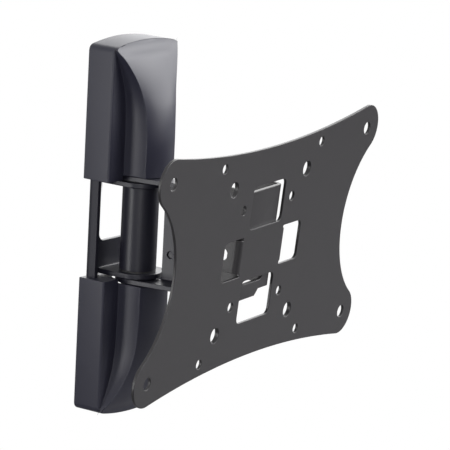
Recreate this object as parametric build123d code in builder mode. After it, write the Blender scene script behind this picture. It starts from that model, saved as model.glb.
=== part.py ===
from build123d import *
import os
from math import asin, atan2, cos, hypot, radians, sin, sqrt

os.makedirs("parts", exist_ok=True)

# Lengths in millimetres, angles in degrees. X is right, +Z up, the wall is the plane Y = 0
# and the mount stands off it towards -Y. The origin is on the wall, level with the swivel.

# Fits
running_gap = 0.1
slip_gap = 0.2
swing_gap = 0.4

# Wall channel
channel_width = 43.0
channel_depth = 7.3
channel_length = 180.0
channel_sheet = 2.5
channel_bend = 1.0
wall_hole_size = 7.5
wall_hole_spacing = 152.0
clip_slot_length = 12.0
clip_slot_width = 1.8
clip_slot_land = 1.2
clip_height = 60.0

# Ears folded out of the channel
ear_spacing = 44.8
ear_root_width = 26.0
ear_tip_radius = 10.8
ear_land = 1.0
flap_length = 34.1
window_corner = 4.0

# Swivel pin
pivot_out = 17.9
pivot_size = 8.0
pivot_head_flats = 13.0
pivot_head_height = 5.3
pivot_nut_height = 6.8
pivot_washer_size = 17.0
pivot_washer_sheet = 1.6
pivot_spring_size = 14.0
pivot_spring_height = 2.2
sleeve_size = 18.9
sleeve_washer_sheet = 0.7
swivel_washer_size = 20.0
swivel_washer_sheet = 0.5

# Moulded covers
cover_width = 50.0
cover_depth = 16.5
cover_end = 94.4
cover_start = 25.6
cover_wall = 2.0
cover_crown = 1.0
cover_corner = 3.0
cover_edge = 1.5
hood_width = 26.0
hood_rise = 12.8
hood_lean = 1.4
hood_bulge = 2.9
hood_hollow = 0.55
hood_start = 0.2
lip_width = 0.9
lip_rise = 0.7
mouth_relief_width = 31.0
rib_sheet = 2.0
rib_reach = 3.5
rib_from_mouth = 14.0
rib_from_end = 16.0
clip_bite = 1.0
catch_size = 1.5
catch_height = 42.5

# Swivel yoke
swivel_rest = 8.0
yoke_sheet = 2.5
yoke_bend = 1.0
yoke_eye_radius = 11.3
yoke_web_start = 14.2
yoke_flange_reach = 33.0
yoke_flange_corner = 7.0
yoke_nose_radius = 9.5
yoke_neck_foot = -6.0
yoke_fillet = 8.0
yoke_hole_size = 3.6
yoke_hole_out = 18.7
yoke_hole_height = 12.0

# Tilt joint
tilt_rest = 5.44
tilt_out = 52.8
tilt_height = 12.0
tilt_behind_plate = 19.8
tilt_above_plate_middle = 12.0
barrel_size = 14.0
weld_bead = 1.5
weld_gap = 0.05
tilt_size = 6.0
tilt_head_flats = 10.0
tilt_head_height = 4.0
tilt_nut_height = 5.0
tilt_washer_size = 14.0
tilt_washer_sheet = 1.6
tilt_spring_size = 10.5
tilt_spring_height = 1.6
friction_disc_size = 13.0
friction_disc_sheet = 0.8
thread_end = 1.5

# Tilt bracket
bracket_width = 28.0
bracket_sheet = 2.0
bracket_bend = 1.5
bracket_top = 33.1
bracket_foot = -23.4
bracket_step = -20.1
bracket_opening_foot = -15.5
bracket_opening_top = 3.0
bracket_opening_width = 22.0
bracket_opening_corner = 2.5
bracket_step_start = 1.0
cheek_nose_radius = 10.0
cheek_flank = 10.5
cheek_top_reach = 7.0
cheek_fillet = 3.0

# Screen plate
plate_sheet = 1.5
pattern_width = 200.0
pattern_height = 100.0
lobe_radius = 12.3
plate_waist_height = 54.6
plate_waist_width = 86.5
large_hole_size = 6.5
middle_hole_size = 5.0
collar_hole_size = 8.0
collar_wall = 1.2
collar_reach = 2.2
middle_pattern = 100.0
collar_pattern = 75.0
small_pattern = 50.0
window_radius = 3.0
tall_window_width = 33.2
tall_window_height = 22.2
tall_window_middle = 24.5
side_window_width = 19.2
side_window_height = 20.4
side_window_start = 19.9
tab_height = 13.2
tab_bend = 2.5
tab_reach = 17.7
tab_hole_size = 6.6
tab_hole_behind = 9.0

# Hood sections: distance from the cover's end, share of the extra width, share of the rise
hood_stations = [
    (0.0, 1.03, 0.02),
    (3.5, 0.97, 0.11),
    (8.0, 0.74, 0.33),
    (16.0, 0.43, 0.59),
    (24.0, 0.20, 0.77),
    (34.0, 0.05, 0.90),
    (46.0, 0.0, 0.97),
    (57.0, 0.0, 1.0),
]

# Derived heights of the swivel stack
ear_outside = ear_spacing / 2 + channel_sheet
flange_inside = ear_outside + swivel_washer_sheet
flange_outside = flange_inside + yoke_sheet
relief_height = flange_outside + swing_gap

# Frames of the yoke and of the tilting head
arm = Plane(
    origin=(0, -pivot_out, 0),
    x_dir=(cos(radians(swivel_rest)), sin(radians(swivel_rest)), 0),
    z_dir=(0, 0, 1),
)
tilt_up = arm.z_dir * cos(radians(tilt_rest)) - arm.y_dir * sin(radians(tilt_rest))
head = Plane(
    origin=arm.from_local_coords((0, -tilt_out, tilt_height)),
    x_dir=arm.x_dir,
    z_dir=tilt_up,
)
plate = Plane(
    origin=head.from_local_coords((0, -tilt_behind_plate, -tilt_above_plate_middle)),
    x_dir=head.x_dir,
    z_dir=head.z_dir,
)


def moved(frame, x, y, z):
    """The same frame with its origin at a point given in its own axes."""
    return Plane(origin=frame.from_local_coords((x, y, z)), x_dir=frame.x_dir, z_dir=frame.z_dir)


def front_of(frame, y):
    """A plane facing the viewer: its x is right, its y is up."""
    return Plane(origin=frame.from_local_coords((0, y, 0)), x_dir=frame.x_dir, z_dir=-frame.y_dir)


def side_of(frame, x):
    """A plane facing right: its x runs back towards the wall, its y is up."""
    return Plane(origin=frame.from_local_coords((x, 0, 0)), x_dir=frame.y_dir, z_dir=frame.x_dir)


def folded_u(width, depth, sheet, bend):
    """A folded U section: web along y = 0, open towards the sign of its depth."""
    inward = sheet if depth > 0 else -sheet
    half = width / 2
    with BuildSketch() as section:
        with BuildLine():
            outer = FilletPolyline((-half, depth), (-half, 0), (half, 0), (half, depth), radius=bend + sheet)
            inner = FilletPolyline(
                (-half + sheet, depth),
                (-half + sheet, inward),
                (half - sheet, inward),
                (half - sheet, depth),
                radius=bend,
            )
            Line(outer @ 0, inner @ 0)
            Line(outer @ 1, inner @ 1)
        make_face()
    return section.sketch


def quarter_bend(sheet, bend):
    """A quarter ring of sheet in the quadrant of positive x and y."""
    outer = bend + sheet
    with BuildSketch() as section:
        Circle(outer)
        Circle(bend, mode=Mode.SUBTRACT)
        Rectangle(outer, outer, align=(Align.MIN, Align.MIN), mode=Mode.INTERSECT)
    return section.sketch


def tangent_point(point, centre, radius, turn):
    """Where a line from a point touches a circle; turn +1 or -1 picks the side."""
    across = centre[0] - point[0]
    up = centre[1] - point[1]
    distance = hypot(across, up)
    heading = atan2(up, across) + turn * asin(radius / distance)
    reach = sqrt(distance**2 - radius**2)
    return (point[0] + reach * cos(heading), point[1] + reach * sin(heading))


# Wall channel: web on the wall, two side flanges, two ears folded forward out of windows
ear_tops = (ear_outside, -ear_spacing / 2)
ear_root = channel_sheet + channel_bend
hole_heights = (wall_hole_spacing / 2, -wall_hole_spacing / 2)

with BuildPart() as wall_channel:
    with BuildSketch(Plane.XY.offset(-channel_length / 2)):
        add(folded_u(channel_width, -channel_depth, channel_sheet, channel_bend))
    extrude(amount=channel_length)
    for top in ear_tops:
        window_top = top + channel_bend
        with BuildSketch(front_of(Plane.XY, 0)) as window:
            with Locations((0, window_top - flap_length / 2)):
                Rectangle(ear_root_width, flap_length)
            fillet(window.vertices().group_by(Axis.Y)[0], window_corner)
        extrude(amount=channel_sheet, mode=Mode.SUBTRACT)
        with BuildSketch(side_of(Plane.XY, -ear_root_width / 2)):
            with Locations((-ear_root, window_top)):
                add(quarter_bend(channel_sheet, channel_bend), rotation=-90)
        extrude(amount=ear_root_width)
        with BuildSketch(Plane.XY.offset(top - channel_sheet)):
            with Locations((0, -pivot_out)):
                Circle(ear_tip_radius)
            with Locations((0, -ear_root)):
                Rectangle(ear_root_width, ear_land, align=(Align.CENTER, Align.MAX))
            make_hull()
            with Locations((0, -pivot_out)):
                Circle(pivot_size / 2 + running_gap, mode=Mode.SUBTRACT)
        extrude(amount=channel_sheet)
    with BuildSketch(front_of(Plane.XY, 0)):
        with Locations(*[(0, height) for height in hole_heights]):
            Circle(wall_hole_size / 2)
    extrude(amount=channel_sheet, mode=Mode.SUBTRACT)
    with BuildSketch(side_of(Plane.XY, -channel_width)):
        slot_middle = -channel_depth + clip_slot_land + clip_slot_width / 2
        with Locations((slot_middle, clip_height), (slot_middle, -clip_height)):
            Rectangle(clip_slot_width, clip_slot_length)
    extrude(amount=2 * channel_width, mode=Mode.SUBTRACT)
wall_channel.part.label = "wall_channel"
export_step(wall_channel.part, "parts/wall_channel.step")


def cover_outline(inset, start, side):
    """Front view of a cover: straight sides, crowned far end with round corners."""
    half = cover_width / 2 - inset
    end = cover_end - inset
    with BuildSketch() as outline:
        with BuildLine():
            Polyline(
                (-half, side * (end - cover_crown)),
                (-half, side * start),
                (half, side * start),
                (half, side * (end - cover_crown)),
            )
            ThreePointArc(
                (-half, side * (end - cover_crown)),
                (0, side * end),
                (half, side * (end - cover_crown)),
            )
        make_face()
        far_end = outline.vertices().sort_by(Axis.Y)[-2:] if side > 0 else outline.vertices().sort_by(Axis.Y)[:2]
        fillet(far_end, cover_corner - inset / 2)
    return outline.sketch


def hood_section(half, rise, lean, bulge, hollow):
    """Plan view of the hood: hollow flanks up to two creases, bulging front between them."""
    crease = half - lean
    front = -cover_depth - rise
    middle = -cover_depth - rise / 2
    root = -cover_depth + 2 * cover_wall
    with BuildSketch() as section:
        with BuildLine():
            ThreePointArc((-half, -cover_depth), (-half + lean / 2 + hollow, middle), (-crease, front))
            ThreePointArc((-crease, front), (0, front - bulge), (crease, front))
            ThreePointArc((crease, front), (half - lean / 2 - hollow, middle), (half, -cover_depth))
            Polyline((half, -cover_depth), (half, root), (-half, root), (-half, -cover_depth))
        make_face()
    return section.sketch


def make_cover(side):
    """One hooded cover, side +1 above the swivel and -1 below it."""
    extra_width = (cover_width - hood_width) / 2
    reach = cover_depth + hood_rise + hood_bulge + cover_wall
    stations = hood_stations + [(cover_end - cover_start + cover_wall, 0.0, 1.0)]
    with BuildPart() as hollow:
        for distance, spread, climb in stations:
            with BuildSketch(Plane.XY.offset(side * (cover_end - cover_wall - distance))):
                add(
                    hood_section(
                        hood_width / 2 + spread * extra_width - cover_wall,
                        max(climb * hood_rise - cover_wall / 2, hood_start),
                        climb * hood_lean,
                        climb * hood_bulge,
                        climb * hood_hollow,
                    )
                )
        loft()
        with BuildSketch(Plane.XY.offset(side * (cover_start - cover_wall))):
            Rectangle(
                cover_width - 2 * cover_wall,
                cover_depth - cover_wall,
                align=(Align.CENTER, Align.MAX),
            )
        extrude(amount=side * (cover_end - cover_start + cover_wall))
        with BuildSketch(front_of(Plane.XY, 0)):
            add(cover_outline(cover_wall, cover_start - cover_wall, side))
        extrude(amount=reach, mode=Mode.INTERSECT)
    with BuildPart() as cover:
        for distance, spread, climb in stations[:-1] + [(cover_end - cover_start, 0.0, 1.0)]:
            with BuildSketch(Plane.XY.offset(side * (cover_end - distance))):
                add(
                    hood_section(
                        hood_width / 2 + spread * extra_width,
                        climb * hood_rise,
                        climb * hood_lean,
                        climb * hood_bulge,
                        climb * hood_hollow,
                    )
                )
        loft()
        with BuildSketch(Plane.XY.offset(side * cover_start)) as plan:
            Rectangle(cover_width, cover_depth, align=(Align.CENTER, Align.MAX))
            fillet(plan.vertices().group_by(Axis.Y)[0], cover_edge)
        extrude(amount=side * (cover_end - cover_start))
        with BuildSketch(front_of(Plane.XY, 0)):
            add(cover_outline(0, cover_start, side))
        extrude(amount=reach, mode=Mode.INTERSECT)
        add(hollow.part, mode=Mode.SUBTRACT)
        with BuildSketch(front_of(Plane.XY, -pivot_out + yoke_eye_radius + swing_gap)):
            with Locations((0, side * (cover_start + relief_height) / 2)):
                Rectangle(mouth_relief_width, relief_height - cover_start)
        extrude(amount=reach, mode=Mode.SUBTRACT)
        with BuildSketch(front_of(Plane.XY, -channel_depth)):
            for height in (cover_start + rib_from_mouth, cover_end - rib_from_end):
                for edge in (-1, 1):
                    with Locations((edge * (cover_width / 2 - cover_wall - rib_reach / 2), side * height)):
                        Rectangle(rib_reach, rib_sheet)
        extrude(amount=cover_depth - cover_wall - channel_depth)
        barb = channel_depth - clip_slot_land - clip_slot_width + slip_gap
        with BuildSketch(front_of(Plane.XY, -barb)):
            barb_reach = (cover_width - channel_width) / 2 - cover_wall + clip_bite
            for edge in (-1, 1):
                with Locations((edge * (cover_width / 2 - cover_wall - barb_reach / 2), side * clip_height)):
                    Rectangle(barb_reach, clip_slot_length - 2 * slip_gap)
        extrude(amount=clip_slot_width - 2 * slip_gap)
    return cover.part


def keep(part, name):
    """Label a piece and write it to its file."""
    part.label = name
    export_step(part, "parts/" + name + ".step")


keep(make_cover(1), "upper_cover")
keep(make_cover(-1), "lower_cover")


def rings(planes, outer, bore, height):
    """Flat rings, one on each plane."""
    with BuildPart() as made:
        for plane in planes:
            with BuildSketch(plane):
                Circle(outer / 2)
                Circle(bore / 2, mode=Mode.SUBTRACT)
            extrude(amount=height)
    return made.part


def pin_plane(height):
    """A level plane across the swivel pin."""
    return Plane.XY.offset(height).move(Location((0, -pivot_out, 0)))


# Sleeve between the ears, with a thin washer at each end
sleeve_half = ear_spacing / 2 - sleeve_washer_sheet
pin_bore = pivot_size + 2 * running_gap
keep(rings([pin_plane(-sleeve_half)], sleeve_size, pin_bore, 2 * sleeve_half), "pivot_sleeve")
sleeve_ends = [pin_plane(sleeve_half), pin_plane(-ear_spacing / 2)]
keep(rings(sleeve_ends, sleeve_size - 2 * running_gap, pin_bore, sleeve_washer_sheet), "sleeve_washers")

# Plastic washers between the ears and the yoke's flanges
swivel_faces = [pin_plane(ear_outside), pin_plane(-flange_inside)]
keep(rings(swivel_faces, swivel_washer_size, pin_bore, swivel_washer_sheet), "swivel_washers")

# Swivel bolt, head up, with its washers, spring washer and nut
pivot_under_head = flange_outside + pivot_washer_sheet
pivot_nut_top = -pivot_under_head - pivot_spring_height
pivot_tip = pivot_nut_top - pivot_nut_height - thread_end
with BuildPart() as pivot_bolt:
    with BuildSketch(pin_plane(pivot_tip)):
        Circle(pivot_size / 2)
    extrude(amount=pivot_under_head - pivot_tip)
    chamfer(pivot_bolt.edges().group_by(Axis.Z)[0], thread_end / 2)
    with BuildSketch(pin_plane(pivot_under_head)):
        RegularPolygon(pivot_head_flats / 2, 6, major_radius=False)
    extrude(amount=pivot_head_height)
keep(pivot_bolt.part, "pivot_bolt")
washer_faces = [pin_plane(flange_outside), pin_plane(-pivot_under_head)]
keep(rings(washer_faces, pivot_washer_size, pin_bore, pivot_washer_sheet), "pivot_washers")
keep(rings([pin_plane(pivot_nut_top)], pivot_spring_size, pin_bore, pivot_spring_height), "pivot_spring_washer")
with BuildPart() as pivot_nut:
    with BuildSketch(pin_plane(pivot_nut_top - pivot_nut_height)):
        RegularPolygon(pivot_head_flats / 2, 6, major_radius=False)
        Circle(pivot_size / 2, mode=Mode.SUBTRACT)
    extrude(amount=pivot_nut_height)
keep(pivot_nut.part, "pivot_nut")

# Swivel yoke: a web beside the pin and two flanges folded over it, with eyes round the pin
yoke_fold = flange_inside - yoke_bend
nose = (-tilt_out, tilt_height)
neck_top = (-yoke_flange_reach, yoke_fold)
neck_foot = (-yoke_flange_reach, yoke_neck_foot)
nose_top = tangent_point(neck_top, nose, yoke_nose_radius, -1)
nose_foot = tangent_point(neck_foot, nose, yoke_nose_radius, 1)
nose_tip = (nose[0] - yoke_nose_radius, nose[1])

with BuildPart() as arm_yoke:
    for side in (1, -1):
        flange_level = flange_inside if side > 0 else -flange_outside
        with BuildSketch(moved(arm, 0, 0, flange_level)):
            with Locations((-yoke_bend, 0)):
                Rectangle(yoke_eye_radius - yoke_bend, yoke_flange_reach, align=(Align.MAX, Align.MAX))
            Circle(yoke_eye_radius)
            Circle(pivot_size / 2 + running_gap, mode=Mode.SUBTRACT)
        extrude(amount=yoke_sheet)
        with BuildSketch(front_of(arm, -yoke_web_start)):
            with Locations((-yoke_bend, side * yoke_fold)):
                add(quarter_bend(yoke_sheet, yoke_bend), rotation=0 if side > 0 else -90)
        extrude(amount=yoke_flange_reach - yoke_web_start)
    with BuildSketch(side_of(arm, 0)) as web:
        with BuildLine():
            Polyline(nose_top, neck_top, (-yoke_web_start, yoke_fold), (-yoke_web_start, -yoke_fold))
            Polyline((-yoke_web_start, -yoke_fold), (-yoke_flange_reach, -yoke_fold), neck_foot, nose_foot)
            ThreePointArc(nose_top, nose_tip, nose_foot)
        make_face()
        inner_corner = web.vertices().sort_by_distance(Vector(*neck_foot))[0]
        fillet(inner_corner, yoke_fillet)
        with Locations(nose):
            Circle(barrel_size / 2 + weld_gap, mode=Mode.SUBTRACT)
        with Locations((-yoke_hole_out, yoke_hole_height), (-yoke_hole_out, -yoke_hole_height)):
            Circle(yoke_hole_size / 2, mode=Mode.SUBTRACT)
    extrude(amount=yoke_sheet)
    corner_at = [moved(arm, -yoke_eye_radius, -yoke_flange_reach, z).origin for z in (flange_inside, -flange_inside)]
    uprights = arm_yoke.edges().filter_by(Axis.Z)
    fillet([uprights.sort_by_distance(corner)[0] for corner in corner_at], yoke_flange_corner)
keep(arm_yoke.part, "arm_yoke")

# Tilt barrel, welded through the yoke's nose
barrel_half = bracket_width / 2 - bracket_sheet - friction_disc_sheet
tilt_bore = tilt_size + 2 * running_gap
with BuildPart() as tilt_barrel:
    with BuildSketch(side_of(head, -barrel_half)):
        Circle(barrel_size / 2)
    extrude(amount=2 * barrel_half)
    with BuildSketch(side_of(head, 0)):
        Circle(barrel_size / 2 + weld_bead)
    extrude(amount=-weld_bead, taper=45)
    with BuildSketch(side_of(head, -barrel_half)):
        Circle(tilt_bore / 2)
    extrude(amount=2 * barrel_half, mode=Mode.SUBTRACT)
keep(tilt_barrel.part, "tilt_barrel")

# Tilt bracket: a folded U whose cheeks reach back to the tilt bolt
bracket_depth = tilt_behind_plate + cheek_nose_radius - plate_sheet
cheek_nose = (tilt_behind_plate, tilt_above_plate_middle)
cheek_waist = cheek_nose[1] - cheek_nose_radius
cheek_top = (cheek_top_reach, bracket_top)
cheek_nose_top = tangent_point(cheek_top, cheek_nose, cheek_nose_radius, 1)
cheek_nose_tip = (cheek_nose[0] + cheek_nose_radius, cheek_nose[1])
cheek_nose_foot = (cheek_nose[0], cheek_waist)
with BuildPart() as tilt_bracket:
    with BuildSketch(moved(plate, 0, plate_sheet, bracket_foot)):
        add(folded_u(bracket_width, bracket_depth, bracket_sheet, bracket_bend))
    extrude(amount=bracket_top - bracket_foot)
    with BuildSketch(side_of(plate, -bracket_width)) as cheek:
        with BuildLine():
            Polyline(cheek_nose_top, cheek_top, (0, bracket_top), (0, bracket_foot))
            Polyline((0, bracket_foot), (cheek_top_reach, bracket_foot), (cheek_flank, bracket_opening_foot))
            Polyline((cheek_flank, bracket_opening_foot), (cheek_flank, cheek_waist), cheek_nose_foot)
            ThreePointArc(cheek_nose_top, cheek_nose_tip, cheek_nose_foot)
        make_face()
        waist_corner = cheek.vertices().sort_by_distance(Vector(cheek_flank, cheek_waist))[0]
        fillet(waist_corner, cheek_fillet)
        with Locations(cheek_nose):
            Circle(tilt_bore / 2, mode=Mode.SUBTRACT)
    extrude(amount=2 * bracket_width, mode=Mode.INTERSECT)
    with BuildSketch(front_of(plate, bracket_depth)) as openings:
        with Locations((0, (bracket_opening_foot + bracket_opening_top) / 2)):
            Rectangle(bracket_opening_width, bracket_opening_top - bracket_opening_foot)
        fillet(openings.vertices(), bracket_opening_corner)
        with BuildLine():
            step_width = bracket_step - bracket_foot
            Polyline(
                (bracket_step_start, bracket_foot),
                (bracket_step_start + step_width, bracket_step),
                (bracket_width, bracket_step),
                (bracket_width, bracket_foot),
                close=True,
            )
        make_face()
    extrude(amount=bracket_depth, mode=Mode.SUBTRACT)
keep(tilt_bracket.part, "tilt_bracket")

# Screen plate: lobed sheet with hole patterns, windows and two folded tie tabs
lobe_across = pattern_width / 2
lobe_up = pattern_height / 2
lobe_tip = lobe_radius * sqrt(0.5)


def waist_radius(along, across, radius):
    """Radius of the hollow arc that meets a lobe, from the lobe's place seen from the waist."""
    return (along**2 + across**2 - radius**2) / (2 * (radius + across))


top_radius = waist_radius(lobe_across, lobe_up - plate_waist_height, lobe_radius)
side_radius = waist_radius(lobe_up, lobe_across - plate_waist_width, lobe_radius)
top_centre = Vector(0, plate_waist_height + top_radius)
side_centre = Vector(plate_waist_width + side_radius, 0)
lobe_centre = Vector(lobe_across, lobe_up)
lobe_start = lobe_centre + (top_centre - lobe_centre).normalized() * lobe_radius
lobe_end = lobe_centre + (side_centre - lobe_centre).normalized() * lobe_radius
lobe_outer = lobe_centre + Vector(lobe_tip, lobe_tip)
tab_outer_bend = tab_bend + plate_sheet
tab_face = side_window_start + tab_outer_bend

with BuildPart() as vesa_plate:
    with BuildSketch(front_of(plate, plate_sheet)) as face:
        with BuildLine():
            ThreePointArc((-lobe_start.X, lobe_start.Y), (0, plate_waist_height), lobe_start)
            ThreePointArc(lobe_start, lobe_outer, lobe_end)
            ThreePointArc(lobe_end, (plate_waist_width, 0), (lobe_end.X, -lobe_end.Y))
            ThreePointArc((lobe_end.X, -lobe_end.Y), (lobe_outer.X, -lobe_outer.Y), (lobe_start.X, -lobe_start.Y))
            ThreePointArc((lobe_start.X, -lobe_start.Y), (0, -plate_waist_height), -lobe_start)
            ThreePointArc(-lobe_start, -lobe_outer, -lobe_end)
            ThreePointArc(-lobe_end, (-plate_waist_width, 0), (-lobe_end.X, lobe_end.Y))
            ThreePointArc((-lobe_end.X, lobe_end.Y), (-lobe_outer.X, lobe_outer.Y), (-lobe_start.X, lobe_start.Y))
        make_face()
        with Locations((0, tall_window_middle), (0, -tall_window_middle)):
            RectangleRounded(tall_window_width, tall_window_height, window_radius, mode=Mode.SUBTRACT)
        for side in (-1, 1):
            with Locations((side * (side_window_start + side_window_width / 2), 0)):
                RectangleRounded(side_window_width, side_window_height, window_radius, mode=Mode.SUBTRACT)
        with GridLocations(pattern_width, pattern_height, 2, 2):
            Circle(large_hole_size / 2, mode=Mode.SUBTRACT)
        with GridLocations(middle_pattern, middle_pattern, 2, 2):
            Circle(middle_hole_size / 2, mode=Mode.SUBTRACT)
        with GridLocations(collar_pattern, collar_pattern, 2, 2):
            Circle(collar_hole_size / 2, mode=Mode.SUBTRACT)
        with GridLocations(small_pattern, small_pattern, 2, 2):
            Circle(middle_hole_size / 2, mode=Mode.SUBTRACT)
    extrude(amount=plate_sheet)
    with BuildSketch(front_of(plate, plate_sheet + collar_reach)):
        with GridLocations(collar_pattern, collar_pattern, 2, 2):
            Circle(collar_hole_size / 2 + collar_wall)
            Circle(collar_hole_size / 2, mode=Mode.SUBTRACT)
    extrude(amount=collar_reach)
    for side in (-1, 1):
        with BuildSketch(moved(plate, 0, 0, -tab_height / 2)):
            with Locations((side * side_window_start, tab_outer_bend)):
                add(quarter_bend(plate_sheet, tab_bend), rotation=180 if side < 0 else -90)
            with Locations((side * (tab_face - plate_sheet / 2), (tab_outer_bend + tab_reach) / 2)):
                Rectangle(plate_sheet, tab_reach - tab_outer_bend)
        extrude(amount=tab_height)
    with BuildSketch(side_of(plate, -tab_face - plate_sheet)):
        with Locations((tab_hole_behind, 0)):
            Circle(tab_hole_size / 2)
    extrude(amount=2 * (tab_face + plate_sheet), mode=Mode.SUBTRACT)
keep(vesa_plate.part, "vesa_plate")

# Tilt bolt with its washers, spring washer, nut and friction discs
cheek_outside = bracket_width / 2
tilt_under_head = -cheek_outside - tilt_washer_sheet
tilt_spring_start = cheek_outside + tilt_washer_sheet
tilt_nut_start = tilt_spring_start + tilt_spring_height
tilt_tip = tilt_nut_start + tilt_nut_height + thread_end
with BuildPart() as tilt_bolt:
    with BuildSketch(side_of(head, tilt_under_head)):
        Circle(tilt_size / 2)
    extrude(amount=tilt_tip - tilt_under_head)
    with BuildSketch(side_of(head, tilt_under_head)):
        RegularPolygon(tilt_head_flats / 2, 6, major_radius=False)
    extrude(amount=-tilt_head_height)
keep(tilt_bolt.part, "tilt_bolt")
tilt_washer_faces = [side_of(head, tilt_under_head), side_of(head, cheek_outside)]
keep(rings(tilt_washer_faces, tilt_washer_size, tilt_bore, tilt_washer_sheet), "tilt_washers")
tilt_spring_faces = [side_of(head, tilt_spring_start)]
keep(rings(tilt_spring_faces, tilt_spring_size, tilt_bore, tilt_spring_height), "tilt_spring_washer")
with BuildPart() as tilt_nut:
    with BuildSketch(side_of(head, tilt_nut_start)):
        RegularPolygon(tilt_head_flats / 2, 6, major_radius=False)
        Circle(tilt_size / 2, mode=Mode.SUBTRACT)
    extrude(amount=tilt_nut_height)
keep(tilt_nut.part, "tilt_nut")
disc_faces = [side_of(head, -barrel_half - friction_disc_sheet), side_of(head, barrel_half)]
keep(rings(disc_faces, friction_disc_size, tilt_bore, friction_disc_sheet), "tilt_friction_discs")
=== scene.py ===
import math
import bmesh
import bpy
from mathutils import Matrix, Vector


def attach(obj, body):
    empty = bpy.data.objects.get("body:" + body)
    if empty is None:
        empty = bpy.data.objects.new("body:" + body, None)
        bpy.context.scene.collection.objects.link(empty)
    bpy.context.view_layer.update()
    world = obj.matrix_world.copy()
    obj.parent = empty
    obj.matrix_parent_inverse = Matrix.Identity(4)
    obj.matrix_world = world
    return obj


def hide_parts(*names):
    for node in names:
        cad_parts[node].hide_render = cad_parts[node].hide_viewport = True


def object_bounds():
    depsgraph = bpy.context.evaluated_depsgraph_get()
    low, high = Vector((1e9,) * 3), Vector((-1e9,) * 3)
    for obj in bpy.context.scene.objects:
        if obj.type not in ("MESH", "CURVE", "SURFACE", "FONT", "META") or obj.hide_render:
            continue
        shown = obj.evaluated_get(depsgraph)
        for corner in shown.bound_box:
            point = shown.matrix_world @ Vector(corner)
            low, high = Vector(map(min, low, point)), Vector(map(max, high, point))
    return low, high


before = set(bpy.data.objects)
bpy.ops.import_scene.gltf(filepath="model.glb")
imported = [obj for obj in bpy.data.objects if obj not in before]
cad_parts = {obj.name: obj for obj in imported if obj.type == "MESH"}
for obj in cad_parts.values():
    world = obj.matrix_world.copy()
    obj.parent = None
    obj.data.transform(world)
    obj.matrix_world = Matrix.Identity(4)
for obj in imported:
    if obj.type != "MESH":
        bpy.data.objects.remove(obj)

mm = 0.001
cadBox = [list(corner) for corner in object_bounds()]

# camera: solved from the plate's standard hole pattern
shot = dict(
    place=Vector((-1.4599, -1.1675, 0.3969)),
    right=Vector((0.6077, -0.7926, 0.0502)),
    up=Vector((0.1347, 0.1651, 0.9770)),
    focalPixels=3723.3,
    imagePixels=450,
    sensor=36.0,
    nudge=0.5,  # pixels that the picture moves right
    rise=0.7,  # pixels that it moves up
    near=0.05,
    far=50,
)

studio = dict(
    floorDrop=0.36,
    floorSize=9.0,
    floorTint=(0.3, 0.3, 0.305, 1),
    floorRoughness=0.9,
    ambient=0.02,
    mirrorLevel=1.0,
    aim=Vector((0, -0.04, 0)),
)

lamps = [
    dict(name="leftBackSoftbox", place=(-1.25, 1.05, 0.05), size=(1.2, 1.6), power=2.3),
    dict(name="leftStrip", place=(-1.2, 0.42, -0.2), size=(0.25, 0.9), power=4.6),
    dict(name="leftFrontFill", place=(-1.6, -0.75, 0.55), size=(1.0, 1.0), power=4.5),
    dict(name="nearLeftFill", place=(-0.62, -0.55, 0.10), size=(0.3, 0.3), power=1.4),
    dict(name="rightFrontSoftbox", place=(1.35, -1.15, 0.62), size=(2.0, 1.3), power=38),
    dict(name="rightHighSoftbox", place=(1.0, -0.85, 1.15), size=(1.2, 0.9), power=17),
    dict(name="rightBackSoftbox", place=(1.3, 1.1, 0.5), size=(1.2, 1.2), power=9),
]


class Wire:  # a node's output, for shader maths written as expressions

    def __init__(self, board, socket):
        self.board = board
        self.socket = socket

    def maths(self, operation, first, second):
        return self.board.node("ShaderNodeMath", {"operation": operation}, {0: first, 1: second})

    def __add__(self, other):
        return self.maths("ADD", self, other)

    def __radd__(self, other):
        return self.maths("ADD", other, self)

    def __sub__(self, other):
        return self.maths("SUBTRACT", self, other)

    def __rsub__(self, other):
        return self.maths("SUBTRACT", other, self)

    def __mul__(self, other):
        return self.maths("MULTIPLY", self, other)

    def __rmul__(self, other):
        return self.maths("MULTIPLY", other, self)

    def atMost(self, high):
        return self.maths("MINIMUM", self, high)


class Board:  # a node tree, and the one way in which it grows

    def __init__(self, tree):
        self.tree = tree

    def feed(self, place, value):
        if isinstance(value, Wire):
            self.tree.links.new(value.socket, place)
        else:
            place.default_value = value

    def node(self, kind, settings, sockets, out=0):
        made = self.tree.nodes.new(kind)
        for setting, value in settings.items():
            if setting == "stops":
                for stop, (where, shade) in zip(made.color_ramp.elements, value):
                    stop.position = where
                    stop.color = (shade, shade, shade, 1)
            else:
                setattr(made, setting, value)
        for socketName, value in sockets.items():
            self.feed(made.inputs[socketName], value)
        return Wire(self, made.outputs[out]) if made.outputs else None


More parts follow.
